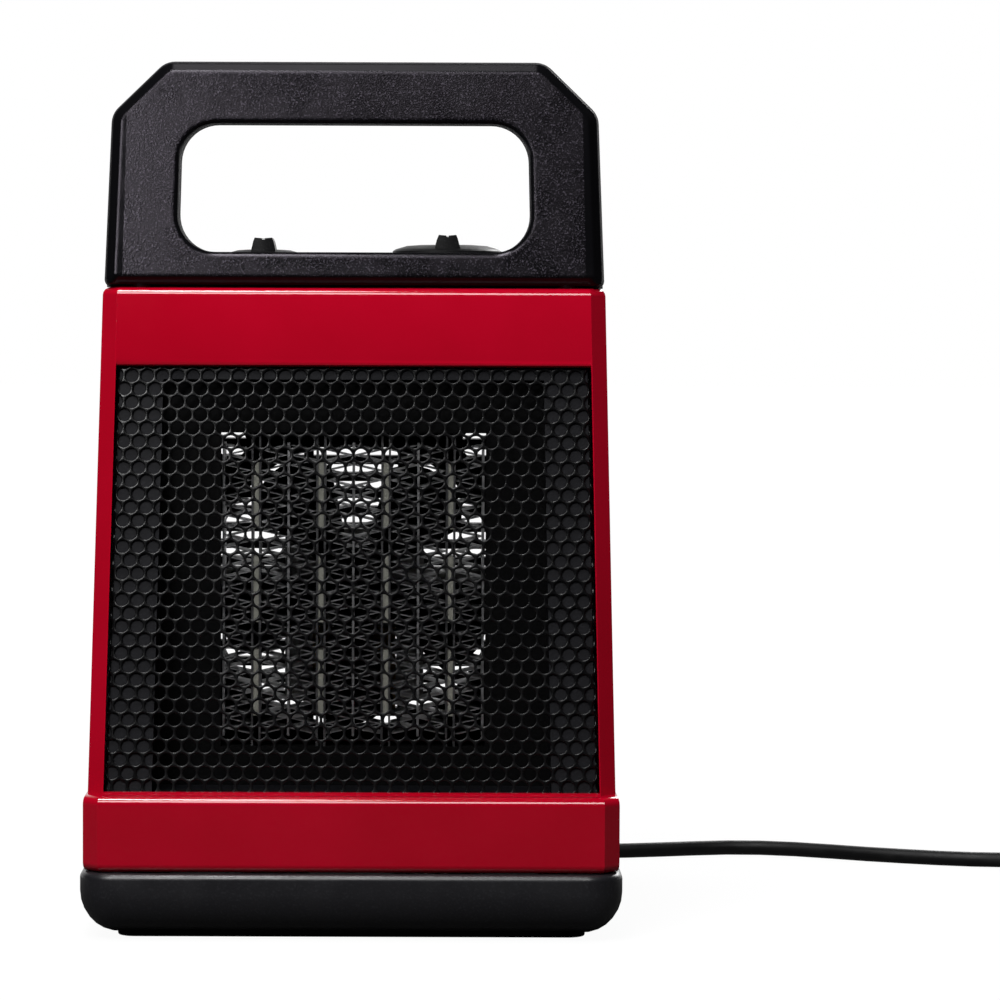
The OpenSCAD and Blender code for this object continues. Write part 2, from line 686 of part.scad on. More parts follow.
// Section of a blade, a share of the way through its depth; its tip is rounded towards both edges
function blade_ring(share) =
    let (a = -blade_twist * share, tip = fan_d / 2 - tip_round * pow(2 * share - 1, 2), root = hub_r - 1.5)
        [for (p = [[root, -1], [tip, -1], [tip, 1], [root, 1]])
            let (q = [p.x, p.y * blade_t / 2])
                [q.x * cos(a) - q.y * sin(a), q.x * sin(a) + q.y * cos(a), share * (fan_depth - 1)]];
module fan_impeller() color([0.14, 0.14, 0.15]) difference() {
    union() {
        along_y(0, heater_z, fan_y, fan_y + fan_depth, hub_r);
        for (k = [0:blade_count - 1]) translate([0, fan_y + fan_depth - 0.5, heater_z]) rotate([90, 0, 0])
            rotate([0, 0, 360 * k / blade_count])
                loft([for (i = [0:blade_slices]) blade_ring(i / blade_slices)]);
    }
    along_y(0, heater_z, fan_y - 1, fan_y + fan_depth + 1, shaft_d / 2 + shaft_gap / 2);
    along_y(0, heater_z, fan_y + 4, fan_y + fan_depth + 1, hub_r - 2.5);
}

// Shaded-pole motor behind the fan
rotor_r = 13;
air_gap = 0.4;
core_x = 28;
core_up = 22;
core_down = 46;
yoke = 12;
leg_w = 11;
rotor_over = 1;
bearing_gap = 2;
bearing_t = 2.2;
boss_len = 2.5;
bearing_r = 5;
front_bearing_y = plate_y - seam - bearing_gap - bearing_t;
rear_bearing_y = core_y + stack_t + seam + bearing_gap;
foot_place = 22;
foot_r = 4.2;
bracket_w = 11;
strap_w = 14;
plate_rim = 3.5;
shaft_end = rear_bearing_y + bearing_t + boss_len + 0.6;
module motor_rotor() color(steel) difference() {
    along_y(0, heater_z, core_y - rotor_over, core_y + stack_t + rotor_over, rotor_r);
    along_y(0, heater_z, core_y - rotor_over - 1, core_y + stack_t + rotor_over + 1,
        shaft_d / 2 + shaft_gap / 2);
}
module motor_shaft() color(steel) along_y(0, heater_z, fan_y - 2, shaft_end, shaft_d / 2);
module stator_core() color([0.45, 0.45, 0.47]) difference() {
    upright(core_y, core_y + stack_t) translate([0, heater_z]) difference() {
        translate([-core_x, -core_down]) square([2 * core_x, core_down + core_up]);
        circle(r = rotor_r + air_gap);
        translate([-core_x + leg_w, -core_down + yoke])
            square([2 * (core_x - leg_w), core_down - yoke - rotor_r - 4]);
    }
    for (s = [-1, 1]) along_y(s * foot_place, heater_z, core_y - 1, core_y + stack_t + 1, screw_pass);
}
coil_x = core_x - leg_w - slack;
coil_over = 6;
module stator_coil() color(copper) difference() {
    upright(core_y - coil_over, core_y + stack_t + coil_over)
        translate([-coil_x, heater_z - core_down - coil_over])
            square([2 * coil_x, core_down - rotor_r - 4 + coil_over - slack]);
    translate([-far / 2, core_y - slack, heater_z - core_down - slack])
        cube([far, stack_t + 2 * slack, yoke + 2 * slack]);
}
bore_reach = 10;
module bearing_bracket(y, toward) difference() {
    union() {
        upright(y, y + bearing_t) translate([0, heater_z]) {
            square([2 * foot_place, bracket_w], center = true);
            for (s = [-1, 1]) translate([s * foot_place, 0]) circle(d = bracket_w);
        }
        along_y(0, heater_z, y - (toward > 0 ? 0 : boss_len), y + bearing_t + (toward > 0 ? boss_len : 0),
            bearing_r);
        for (s = [-1, 1]) along_y(s * foot_place, heater_z,
            y - (toward > 0 ? bearing_gap : 0), y + bearing_t + (toward > 0 ? 0 : bearing_gap), foot_r);
    }
    along_y(0, heater_z, y - bore_reach, y + bore_reach, shaft_d / 2 + shaft_gap);
    for (s = [-1, 1]) along_y(s * foot_place, heater_z, y - bore_reach, y + bore_reach, screw_pass);
}
module bearing_front() color(steel) bearing_bracket(front_bearing_y, -1);
module bearing_rear() color(steel) bearing_bracket(rear_bearing_y, 1);
module motor_plate() color(steel) difference() {
    upright(plate_y, plate_y + plate_h) translate([0, heater_z]) {
        square([2 * lug_x, strap_w], center = true);
        square([2 * core_x, 2 * (rotor_r + plate_rim)], center = true);
        for (s = [-1, 1]) translate([s * lug_x, 0]) circle(d = strap_w);
    }
    along_y(0, heater_z, plate_y - 1, plate_y + plate_h + 1, rotor_r + 2);
    for (s = [-1, 1], x = [foot_place, lug_x])
        along_y(s * x, heater_z, plate_y - 1, plate_y + plate_h + 1, screw_pass);
}
module motor_screws() color(steel) for (s = [-1, 1]) {
    translate([s * lug_x, plate_y + plate_h + seam, heater_z]) rotate([90, 0, 0]) screw(10);
    translate([s * foot_place, rear_bearing_y + bearing_t + seam, heater_z]) rotate([90, 0, 0])
        screw(rear_bearing_y + bearing_t - front_bearing_y);
}

// Controls under the deck; each has a bushing through the deck, a shaft and a knob
control_top = deck_z - wall - seam;
knob_low = deck_z + running;
shaft_sink = 12;
tab_w = 6;
tab_t = 0.8;
tab_len = 7;
module control_body(x, w, h) difference() {
    union() {
        translate([x - w / 2, knob_y - control_d / 2, control_top - h]) cube([w, control_d, h]);
        translate([x, knob_y, control_top - 1]) cylinder(r = bushing_r, h = deck_z - control_top + 1);
        for (s = [-1, 1])
            translate([x + s * w / 4 - tab_w / 2, knob_y - tab_t / 2, control_top - h - tab_len])
                cube([tab_w, tab_t, tab_len + 1]);
    }
    translate([x, knob_y, control_top - shaft_sink]) cylinder(r = control_shaft_d / 2 + shaft_gap, h = far);
}
module control_shaft(x, top) translate([x, knob_y, control_top - shaft_sink + running])
    cylinder(d = control_shaft_d, h = top - control_top + shaft_sink - running);
// Domed skirt with a grip bar that points to the front; the bar's top is hollow and has a pointer groove
grip_w = 10;
grip_slope = 1.5;
grip_dip = 0.3;
groove_w = 1.2;
groove_d = 0.5;
module knob(x, d, skirt_h, grip_h) translate([x, knob_y, knob_low]) difference() {
    union() {
        rotate_extrude($fn = 64) polygon([[0, 0], [d / 2, 0], [d / 2, skirt_h * 0.55],
            [d * 0.47, skirt_h * 0.7], [d * 0.37, skirt_h * 0.93], [d * 0.25, skirt_h], [0, skirt_h]]);
        intersection() {
            translate([0, d / 2, 0]) rotate([90, 0, 0]) linear_extrude(d) polygon([
                [-grip_w / 2, 1], [grip_w / 2, 1], [grip_w / 2, skirt_h * 0.8],
                [grip_w / 2 - grip_slope * 0.6, grip_h - grip_slope], [grip_w / 2 - grip_slope, grip_h],
                [0, grip_h - grip_dip], [-grip_w / 2 + grip_slope, grip_h],
                [-grip_w / 2 + grip_slope * 0.6, grip_h - grip_slope], [-grip_w / 2, skirt_h * 0.8]]);
            cylinder(r = d / 2 - grip_slope, h = far);
        }
    }
    translate([0, 0, -1]) cylinder(d = control_shaft_d + shaft_gap, h = grip_h - knob_roof + 1);
    translate([-groove_w / 2, -d, grip_h - grip_dip - groove_d]) cube([groove_w, d * 0.75, far]);
}
thermostat_skirt = 5.6;
thermostat_grip = 9.4;
thermostat_w = 36;
thermostat_h = 22;
selector_skirt = 3.5;
selector_grip = 8.2;
selector_w = 30;
selector_h = 24;
knob_roof = 2.2;
module thermostat_body() color(ivory) control_body(knob_x, thermostat_w, thermostat_h);
module thermostat_shaft() color(steel) control_shaft(knob_x, knob_low + thermostat_grip - knob_roof - seam);
module thermostat_knob() color(black) knob(knob_x, thermostat_d, thermostat_skirt, thermostat_grip);
module selector_body() color(ivory) control_body(-knob_x, selector_w, selector_h);
module selector_shaft() color(steel) control_shaft(-knob_x, knob_low + selector_grip - knob_roof - seam);
module selector_knob() color(black) knob(-knob_x, selector_d, selector_skirt, selector_grip);

// Safety parts and wiring
tunnel_roof = heater_z + tunnel_half + tunnel_t;
cutout_y = (tunnel_y + tunnel_end) / 2;
cutout_tab = 28;
module overheat_cutout() color(ivory) translate([0, cutout_y, tunnel_roof + seam]) {
    cylinder(r = 8, h = 8);
    translate([-cutout_tab / 2, -4, 0]) cube([cutout_tab, 8, 1]);
    for (s = [-1, 1]) translate([s * 4 - 0.4, -3, 7]) cube([0.8, 6, 8]);
}
fuse_x = 34;
module thermal_fuse() color(steel) {
    translate([fuse_x - 10, cutout_y, tunnel_roof + seam + 2]) rotate([0, 90, 0]) cylinder(r = 2, h = 20);
    for (s = [-1, 1]) translate([fuse_x + s * 10 - 8, cutout_y, tunnel_roof + seam + 2]) rotate([0, 90, 0])
        cylinder(r = 0.6, h = 16);
}
tray_floor = tray_low + tray_t + seam;
module tip_over_switch() color(ivory) translate([-44, -6, tray_floor]) {
    cube([26, 18, 15]);
    for (x = [5, 20]) translate([x, 8.6, 14]) cube([1, 6, 6]);
}
block_at = [16, -6];
module terminal_block() color(ivory) translate([block_at.x, block_at.y, tray_floor]) difference() {
    cube([36, 14, 12]);
    for (k = [0:2]) translate([6 + 12 * k, 7, 4]) cylinder(r = lead_r + slack, h = 9);
}
anchor_w = 8;
anchor_y = relief_inner - anchor_w - 6;
anchor_half = 11;
module cord_anchor() color(black) difference() {
    translate([relief_x - anchor_half, anchor_y, base_h + wall + seam])
        cube([2 * anchor_half, anchor_w, relief_z - base_h - wall + 5]);
    along_y(relief_x, relief_z, anchor_y - 1, anchor_y + anchor_w + 1, cord_d / 2 + seam);
}

// Swept tubes: rings carried along a path without twisting
function path_dirs(p) = [for (i = [0:len(p) - 1]) unit(p[min(i + 1, len(p) - 1)] - p[max(i - 1, 0)])];
function carried(dirs, i, side) = i >= len(dirs) ? [] :
    let (s = unit(side - (side * dirs[i]) * dirs[i])) concat([s], carried(dirs, i + 1, s));
module tube(path, r, sides) {
    dirs = path_dirs(path);
    across = carried(dirs, 0, abs(dirs[0].x) < 0.9 ? [1, 0, 0] : [0, 0, 1]);
    loft([for (i = [0:len(path) - 1]) let (u = across[i], v = cross(dirs[i], u))
        [for (k = [0:sides - 1]) let (a = 360 * (k + 0.5) / sides) path[i] + r * (u * cos(a) + v * sin(a))]]);
}

// Inner wiring: sheathed end of the cord, then single leads
lead_r = 1.2;
sheath_end = anchor_y - 4;
terminal_z = tray_floor + 5;
tab_z = control_top - thermostat_h - tab_len - slack;
selector_tab_z = control_top - selector_h - tab_len - slack;
lead_routes = [
    [[relief_x - 1.6, sheath_end - 0.1, relief_z], [relief_x - 1.6, 36, 38], [40, 20, 30], [36, 6, 24],
        [block_at.x + 18, block_at.y + 7, 18], [block_at.x + 18, block_at.y + 7, terminal_z]],
    [[relief_x + 1.6, sheath_end - 0.1, relief_z], [relief_x + 1.6, 34, 38], [47, 18, 30], [46.5, 6, 24],
        [block_at.x + 30, block_at.y + 7, 18], [block_at.x + 30, block_at.y + 7, terminal_z]],
    [[block_at.x + 6, block_at.y + 7, terminal_z], [block_at.x + 6, block_at.y + 7, 20], [40, 10, 34],
        [66, 20, 44], [80, 26, 60], [82, 28, 100], [82, 28, 180], [76, knob_y, 212], [56, knob_y, 222],
        [knob_x + thermostat_w / 4, knob_y, tab_z - 4], [knob_x + thermostat_w / 4, knob_y, tab_z]],
    [[-knob_x + selector_w / 4, knob_y, selector_tab_z], [-knob_x + selector_w / 4, knob_y, 222],
        [-16, knob_y, 216], [0, knob_y, 214.5], [14, knob_y, 217],
        [knob_x - thermostat_w / 4, knob_y, tab_z - 4], [knob_x - thermostat_w / 4, knob_y, tab_z]]];
module inner_leads() color([0.12, 0.12, 0.13]) {
    along_y(relief_x, relief_z, sheath_end, relief_inner - seam, cord_d / 2);
    for (route = lead_routes) tube(route, lead_r, 8);
}

// Strain relief and cord outside the casing
relief_collar = 3;
relief_tip = cord_d / 2 + 1;
module strain_relief() color(black) translate([relief_x, 0, relief_z]) rotate([-90, 0, 0])
    rotate_extrude() polygon([
        [0, relief_inner], [relief_r, relief_inner], [relief_r, relief_inner + relief_flange],
        [relief_neck, relief_inner + relief_flange], [relief_neck, band_rear + seam],
        [relief_r, band_rear + seam], [relief_r, band_rear + relief_collar],
        [relief_neck + 0.6, band_rear + relief_collar + 1], [relief_tip, relief_y], [0, relief_y]]);
cord_route = [[44, 87.5, 39], [44, 92, 39], [44.3, 106, 37.6], [46, 122, 33], [50, 138, 25.6],
    [56.5, 152.5, 17], [65.5, 165, 9.6], [77, 174.5, 5], [90, 180.5, 3.5], [105, 184, 3.3],
    [120, 186.5, 3.3], [135, 190.5, 3.3], [150, 195, 3.3], [165, 198.5, 3.3], [180, 198, 3.3],
    [195, 193.5, 3.3], [210, 186, 3.3], [225, 177.5, 3.3], [240, 170.5, 3.3], [255, 164.5, 3.3],
    [270, 158.5, 3.5], [285, 153.5, 3.9], [298, 151, 4.3], [311, 150, 4.6], [325, 150, 4.6]];
module power_cord() color([0.05, 0.05, 0.055]) tube(cord_route, cord_d / 2, 10);

// Coil: spirals in on the lower layer, climbs in the half turn where it reverses, spirals out above
coil_start = cord_route[len(cord_route) - 1];
coil_low = coil_start.z;
coil_step = 15;
coil_angle = 2 * coil_turns * 360 + 90;
coil_reverse = coil_angle / 2;
function coil_radius(a) = coil_r + coil_pitch * abs(a - coil_reverse) / 360;
coil_c = [coil_start.x + cord_d, coil_start.y - coil_radius(0)];
function coil_climb(a) = min(max((a - coil_reverse + 90) / 180, 0), 1);
function coil_point(a) = [coil_c.x + coil_radius(a) * sin(a), coil_c.y + coil_radius(a) * cos(a),
    coil_low + coil_pitch * coil_climb(a)];
tail_len = 52;
coil_high = coil_low + coil_pitch;
coil_end = [coil_c.x + coil_radius(0), coil_c.y, coil_high];
coil_turn = [for (a = [0:coil_step:coil_angle]) coil_point(a)];
coil_path = concat([coil_start], coil_turn,
    [for (k = [1:4]) coil_end - [0, tail_len * k / 4, 0]]);
// Least distance between the skins of turns that are half a turn or more apart
half_turn = 180 / coil_step;
coil_gap = min([for (i = [0:len(coil_turn) - 1], j = [0:len(coil_turn) - 1])
    if (j - i > half_turn) norm(coil_turn[i] - coil_turn[j])]) - cord_d;
echo(coil_gap = coil_gap);
module cord_coil() color([0.05, 0.05, 0.055]) tube(coil_path, cord_d / 2, 6);

// Strap round all turns of the coil, on the side nearest the front
tie_t = 1;
tie_w = 12;
tie_in = coil_r + coil_pitch * 0.375 - cord_d / 2 - 1.2;
tie_out = coil_radius(180) + cord_d / 2 + 0.6;
tie_low = coil_low - cord_d / 2 - slack;
tie_high = coil_high + cord_d / 2 + slack;
module tie_section(g) translate([(tie_in + tie_out) / 2, (tie_low + tie_high) / 2])
    square([tie_out - tie_in + 2 * g, tie_high - tie_low + 2 * g], center = true);
module cord_tie() color([0.09, 0.09, 0.1]) translate([coil_c.x - tie_w / 2, coil_c.y, 0]) rotate([90, 0, 90])
    linear_extrude(tie_w) mirror([1, 0]) difference() {
        tie_section(tie_t);
        tie_section(0);
    }

// Plug with two flat blades, lying on the floor
plug_at = coil_end - [0, tail_len, 0];
plug_len = 54;
blade_gap = 12.7;
blade_len = 17;
plug_half = coil_high;
module plug_frame() translate(plug_at) rotate([90, 0, 0]) children();
module plug_body() color(black) plug_frame() loft([
    round_ring(cord_d / 2 + 0.8, cord_d / 2 + 0.8, cord_d / 2, 0), round_ring(5.6, 5.6, 5, 20),
    round_ring(9, 8.6, 5, 26), round_ring(13, plug_half - 0.4, 5, 40),
    round_ring(13.4, plug_half - 0.05, 5, plug_len - 2),
    round_ring(12.4, plug_half - 1, 4, plug_len)]);
module plug_blades() color(brass) plug_frame() for (s = [-1, 1]) difference() {
    translate([s * blade_gap / 2 - 0.75, -3.2, plug_len]) cube([1.5, 6.4, blade_len]);
    translate([s * blade_gap / 2 - 2, 0, plug_len + blade_len - 4.5]) rotate([0, 90, 0])
        cylinder(d = 3, h = 4);
}

base_tray();
foot_strips();
front_bezel();
rear_housing();
rear_grille();
handle_front();
handle_rear();
top_cover();
front_grille();
grille_baffle();
heater_frame();
heater_rails();
heater_fins();
ceramic_stones();
electrode_plates();
separator_plates();
fan_tunnel();
fan_impeller();
motor_shaft();
motor_rotor();
stator_core();
stator_coil();
bearing_front();
bearing_rear();
motor_plate();
motor_screws();
thermostat_body();
thermostat_shaft();
thermostat_knob();
selector_body();
selector_shaft();
selector_knob();
overheat_cutout();
thermal_fuse();
tip_over_switch();
terminal_block();
inner_leads();
cord_anchor();
case_screws();
base_screws();
handle_screws();
strain_relief();
power_cord();
cord_coil();
cord_tie();
plug_body();
plug_blades();
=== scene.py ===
import json
from math import atan2, cos, pi, radians, sin, tan

import bmesh
import bpy
from mathutils import Matrix, Vector


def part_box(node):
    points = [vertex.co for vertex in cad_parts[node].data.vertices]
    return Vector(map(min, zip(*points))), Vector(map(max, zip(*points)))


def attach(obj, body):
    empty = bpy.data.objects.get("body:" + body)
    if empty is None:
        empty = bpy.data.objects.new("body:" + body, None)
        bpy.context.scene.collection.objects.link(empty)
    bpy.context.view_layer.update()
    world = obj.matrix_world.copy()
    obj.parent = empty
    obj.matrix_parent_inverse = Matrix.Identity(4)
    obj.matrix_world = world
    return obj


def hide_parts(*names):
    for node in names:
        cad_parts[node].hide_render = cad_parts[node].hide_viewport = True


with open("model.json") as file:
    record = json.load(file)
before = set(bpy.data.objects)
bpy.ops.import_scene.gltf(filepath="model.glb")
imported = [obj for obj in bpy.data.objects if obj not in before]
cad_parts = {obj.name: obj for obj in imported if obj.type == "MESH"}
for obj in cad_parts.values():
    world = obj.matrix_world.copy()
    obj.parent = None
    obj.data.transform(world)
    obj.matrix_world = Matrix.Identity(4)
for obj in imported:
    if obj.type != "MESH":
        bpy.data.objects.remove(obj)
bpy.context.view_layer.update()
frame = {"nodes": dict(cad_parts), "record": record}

nodes = frame["nodes"]
scene = bpy.context.scene
MM = 0.001


# Driving sizes, in millimetres, as in the part's source
FRONT_LEAN = radians(10)
SIDE_DRAFT = radians(1)
BAND_TOP = 56.0
FRONT_AT_BAND = -62.0
SIDE_AT_BAND = 102.4

SHEET_LOW = 52.5
SHEET_TOP = 226.0
SHEET_RECESS = 3.2
SHEET_T = 0.8
SHEET_FLANGE = 9.0
SHEET_SIDE = 6.7
HOLE_PITCH = 6.0
HOLE_D = 5.0
BEND_R = 2.6

KNOB_X = 37.0
KNOB_Y = 26.04
DECK_Z = 263.5
KNOB_LOW = 264.1
THERMOSTAT_D = 44.0
THERMOSTAT_GRIP = 9.4
SELECTOR_D = 29.0
SELECTOR_GRIP = 8.2

CORD_D = 6.5
TAIL_LEN = 52.0
COIL_R = 26.5
COIL_PITCH = 7.1
COIL_TURNS = 2250
COIL_LIFT = 1125
COIL_CENTRE = (331.5, 101.3125)
COIL_Z = 4.6
CORD_ROUTE = [
    (44, 87.5, 39), (44, 92, 39), (44.3, 106, 37.6), (46, 122, 33), (50, 138, 25.6),
    (56.5, 152.5, 17), (65.5, 165, 9.6), (77, 174.5, 5), (90, 180.5, 3.5), (105, 184, 3.3),
    (120, 186.5, 3.3), (135, 190.5, 3.3), (150, 195, 3.3), (165, 198.5, 3.3), (180, 198, 3.3),
    (195, 193.5, 3.3), (210, 186, 3.3), (225, 177.5, 3.3), (240, 170.5, 3.3), (255, 164.5, 3.3),
    (270, 158.5, 3.5), (285, 153.5, 3.9), (298, 151, 4.3), (311, 150, 4.6),
]

# Fineness of the new pieces, and sizes that only they have, in millimetres and degrees
COIL_STEP = 15
CORD_FACETS = 6
STRAP_T = 1.2
STRAP_R_OUTSIDE = 3.0
STRAP_R_INSIDE = 2.0
STRAP_EDGE = 0.3
SHEET_COLUMNS = 18
SHEET_SHARP = radians(50)
CELL_CORNERS = 6
POINTS_PER_SIDE = 3
HOLE_LIP = 0.3
LIP_TURN = 0.3
JOIN_GAP = 0.01
POINTER_W = 1.1
POINTER_T = 0.3
POINTER_SINK = 0.8
POINTER_RIM = 2.0
POINTER_GAP = 0.4
PRINT_T = 0.08
SELECTOR_STOPS = (0, -45, -90, -135)
SELECTOR_TICK = {"gap": 1.6, "length": 3, "width": 0.9}
SCALE_ENDS = (40, 140)
SCALE_STEP = 20
SCALE_END_TICK = {"gap": 1, "length": 2.6, "width": 0.8}
SCALE_TICK = {"gap": 1, "length": 1.8, "width": 0.8}


def side_x(z):
    """Half the body's width at a height."""
    return SIDE_AT_BAND - (z - BAND_TOP) * tan(SIDE_DRAFT)


def on_front(x, up, out):
    """Point on the leaning front face: x across, up along the face, out in front of it."""
    y = FRONT_AT_BAND + up * sin(FRONT_LEAN) - out * cos(FRONT_LEAN)
    z = BAND_TOP + up * cos(FRONT_LEAN) + out * sin(FRONT_LEAN)
    return Vector((x, y, z)) * MM


# Camera
CAMERA_AT = (20, -1705.6, 243.4)
CAMERA_PITCH = 2.5485
CAMERA_ROLL = 0.2
FOCAL_LENGTH = 153.68
SENSOR_W = 36
FRAME_SHIFT = 0.0958

camera = bpy.data.objects.new("camera", bpy.data.cameras.new("camera"))
scene.collection.objects.link(camera)
camera.data.lens = FOCAL_LENGTH
camera.data.sensor_width = SENSOR_W
camera.data.shift_x = FRAME_SHIFT
tilt = Matrix.Rotation(radians(90 - CAMERA_PITCH), 4, "X")
roll = Matrix.Rotation(radians(CAMERA_ROLL), 4, "Z")
camera.matrix_world = Matrix.Translation(Vector(CAMERA_AT) * MM) @ (tilt @ roll)
scene.camera = camera


# Shader nodes
MIX_FIRST, MIX_SECOND, MIX_RESULT = 6, 7, 2


def new_material(name, colour, roughness, metallic=0.0, specular=0.5):
    """A material with its shader and the place on the surface, in metres."""
    material = bpy.data.materials.new(name)
    material.use_nodes = True
    tree = material.node_tree
    shader = tree.nodes["Principled BSDF"]
    shader.inputs["Base Color"].default_value = (*colour, 1)
    shader.inputs["Roughness"].default_value = roughness
    shader.inputs["Metallic"].default_value = metallic
    shader.inputs["Specular IOR Level"].default_value = specular
    place = tree.nodes.new("ShaderNodeTexCoord").outputs["Object"]
    return material, tree, shader, place


def noise(tree, place, size_mm, detail=2.0, stretch=(1, 1, 1)):
    """Noise with blotches of about the given size."""
    scaled = tree.nodes.new("ShaderNodeMapping")
    scaled.inputs["Scale"].default_value = stretch
    tree.links.new(place, scaled.inputs["Vector"])
    texture = tree.nodes.new("ShaderNodeTexNoise")
    texture.inputs["Scale"].default_value = 1 / (size_mm * MM)
    texture.inputs["Detail"].default_value = detail
    tree.links.new(scaled.outputs["Vector"], texture.inputs["Vector"])
    return texture.outputs["Fac"]


def spread(tree, value, source, target=(0, 1)):
    """Maps a value from one range to another."""
    node = tree.nodes.new("ShaderNodeMapRange")
    ends = ("From Min", "From Max", "To Min", "To Max")
    for name, number in zip(ends, (*source, *target)):
        node.inputs[name].default_value = number
    tree.links.new(value, node.inputs["Value"])
    return node.outputs["Result"]


def blend_colours(tree, factor, first, second):
    """Mixes two colours, each given as numbers or as another node's output."""
    node = tree.nodes.new("ShaderNodeMix")
    node.data_type = "RGBA"
    tree.links.new(factor, node.inputs["Factor"])
    for index, colour in ((MIX_FIRST, first), (MIX_SECOND, second)):
        socket = node.inputs[index]
        if isinstance(colour, tuple):
            socket.default_value = (*colour, 1)
        else:
            tree.links.new(colour, socket)
    return node.outputs[MIX_RESULT]


def joined(tree, how, *values):
    """One number from one or two others by the named operation."""
    node = tree.nodes.new("ShaderNodeMath")
    node.operation = how
    for value, socket in zip(values, node.inputs):
        tree.links.new(value, socket)
    return node.outputs[0]


def along(tree, vector, axis):
    """One coordinate of a vector."""
    node = tree.nodes.new("ShaderNodeSeparateXYZ")
    tree.links.new(vector, node.inputs[0])
    return node.outputs[axis]


def bumps(tree, shader, heights, last=None):
    """Chains bumps on a shader: each is a height, its strength, and its depth in millimetres."""
    for height, strength, depth_mm in heights:
        node = tree.nodes.new("ShaderNodeBump")
        if isinstance(strength, float):
            node.inputs["Strength"].default_value = strength
        else:
            tree.links.new(strength, node.inputs["Strength"])
        node.inputs["Distance"].default_value = depth_mm * MM
        tree.links.new(height, node.inputs["Height"])
        if last:
            tree.links.new(last, node.inputs["Normal"])
        last = node.outputs["Normal"]
    tree.links.new(last, shader.inputs["Normal"])


# Finishes
SCUFF_STRETCH = (1, 1, 0.08)
GLOSS_MEAN = 0.08
GLOSS_RANGE = (0.05, 0.1)
COOL_SHEEN = (0.94, 0.86, 1, 1)
SHARP_TIPS = (0.56, 0.7)
SOFT_TIPS = (0.54, 0.74)
ROUGHNESS_DRIFT = 0.07
GRAIN_RISE = 0.25
COARSE_RISE = 0.3
FINE_TO_COARSE = 5
EDGE_SOFT = 1.8
EDGE_SAMPLES = 8
FACE_TURN = (0.88, 0.96)
SIDE_TURN = (0.2, 0.5)
SIDE_ROUGHNESS = 0.95
# The border along the handle's sides is smooth and takes the dark polished colour, which is partly
# painted shade
BORDER_W = 7.6
BORDER_FADE = 0.5
BORDER_GLOSS = 0.55
BORDER_GRAIN = 0.15
LOOP_MM = 0.9


def gloss_plastic(name, colour, shade):
    """Moulded gloss plastic: slow flow marks, handling haze, fine ripples and scuffs."""
    material, tree, shader, place = new_material(name, colour, GLOSS_MEAN)
    flow = spread(tree, noise(tree, place, size_mm=60, detail=3), (0.35, 0.65))
    tree.links.new(blend_colours(tree, flow, colour, shade), shader.inputs["Base Color"])
    haze = noise(tree, place, size_mm=22, detail=5)
    tree.links.new(spread(tree, haze, (0.4, 0.72), GLOSS_RANGE), shader.inputs["Roughness"])
    ripple = noise(tree, place, size_mm=9)
    scuff = spread(
        tree, noise(tree, place, size_mm=1.2, detail=4, stretch=SCUFF_STRETCH), (0.68, 0.8))
    bumps(tree, shader, [(ripple, 0.04, 0.2), (scuff, 0.06, 0.02)])
    return material


def softened(tree):
    """The surface's direction, rounded off over its edges."""
    edges = tree.nodes.new("ShaderNodeBevel")
    edges.samples = EDGE_SAMPLES
    edges.inputs["Radius"].default_value = EDGE_SOFT * MM
    return edges.outputs["Normal"]


def off_shaded_border(tree, place):
    """0 on the border along the body's leaning sides, which is smooth and painted dark as shade, 1
    away from it.
    """
    across = joined(tree, "ABSOLUTE", along(tree, place, "X"))
    low = BAND_TOP * MM
    lean = spread(tree, along(tree, place, "Z"), (low, 1), (0, (1 - low) * tan(SIDE_DRAFT)))
    edge = SIDE_AT_BAND - BORDER_W
    reach = joined(tree, "ADD", across, lean)
    return spread(tree, reach, ((edge - BORDER_FADE) * MM, edge * MM), (1, 0))


def grained_plastic(name, colour, tip_tone_and_glint, roughness, grain_mm, depth, specular=0.5, polished_and_shaded=None):
    """Spark-textured plastic: fine raised grain whose tips are lighter, partly in their own tone
    and partly as a painted glint, over slow changes in gloss.

    A polished colour gives it smooth, dark bevels and a smooth, dark border along its sides; the
    dark colour there is partly a smooth finish and partly painted shade for sides turned from the
    light.
    """
    material, tree, shader, place = new_material(name, colour, roughness, specular=specular)
    grain = noise(tree, place, grain_mm)
    # The grain's tips take a lighter colour: partly the grain's own tone, partly a painted glint
    tips = spread(tree, grain, SHARP_TIPS if polished_and_shaded else SOFT_TIPS)
    shown = blend_colours(tree, tips, colour, tip_tone_and_glint)
    drift = (roughness - ROUGHNESS_DRIFT, roughness + ROUGHNESS_DRIFT)
    rough = spread(tree, noise(tree, place, size_mm=18, detail=3), (0.3, 0.7), drift)
    fine, coarse, normal = depth, depth / FINE_TO_COARSE, None
    if polished_and_shaded:
        shader.inputs["Specular Tint"].default_value = COOL_SHEEN
        normal = softened(tree)
        outward = joined(tree, "ABSOLUTE", along(tree, normal, "Y"))
        on_face = joined(
            tree, "MULTIPLY", spread(tree, outward, FACE_TURN), off_shaded_border(tree, place))
        # Bevels, top, sides and the side border take the dark polished colour: partly a smooth
        # finish, partly painted shade
        shown = blend_colours(tree, on_face, polished_and_shaded, shown)
        rough = joined(tree, "MULTIPLY", rough, spread(tree, on_face, (0, 1), (BORDER_GLOSS, 1)))
        rough = joined(
            tree, "MAXIMUM", rough, spread(tree, outward, SIDE_TURN, (SIDE_ROUGHNESS, 0)))
        fine, coarse = (
            spread(tree, on_face, (0, 1), (BORDER_GRAIN * part, part)) for part in (fine, coarse))
    tree.links.new(shown, shader.inputs["Base Color"])
    tree.links.new(rough, shader.inputs["Roughness"])
    lumps = noise(tree, place, 3 * grain_mm)
    bumps(tree, shader, [(grain, fine, GRAIN_RISE), (lumps, coarse, COARSE_RISE)], normal)
    return material


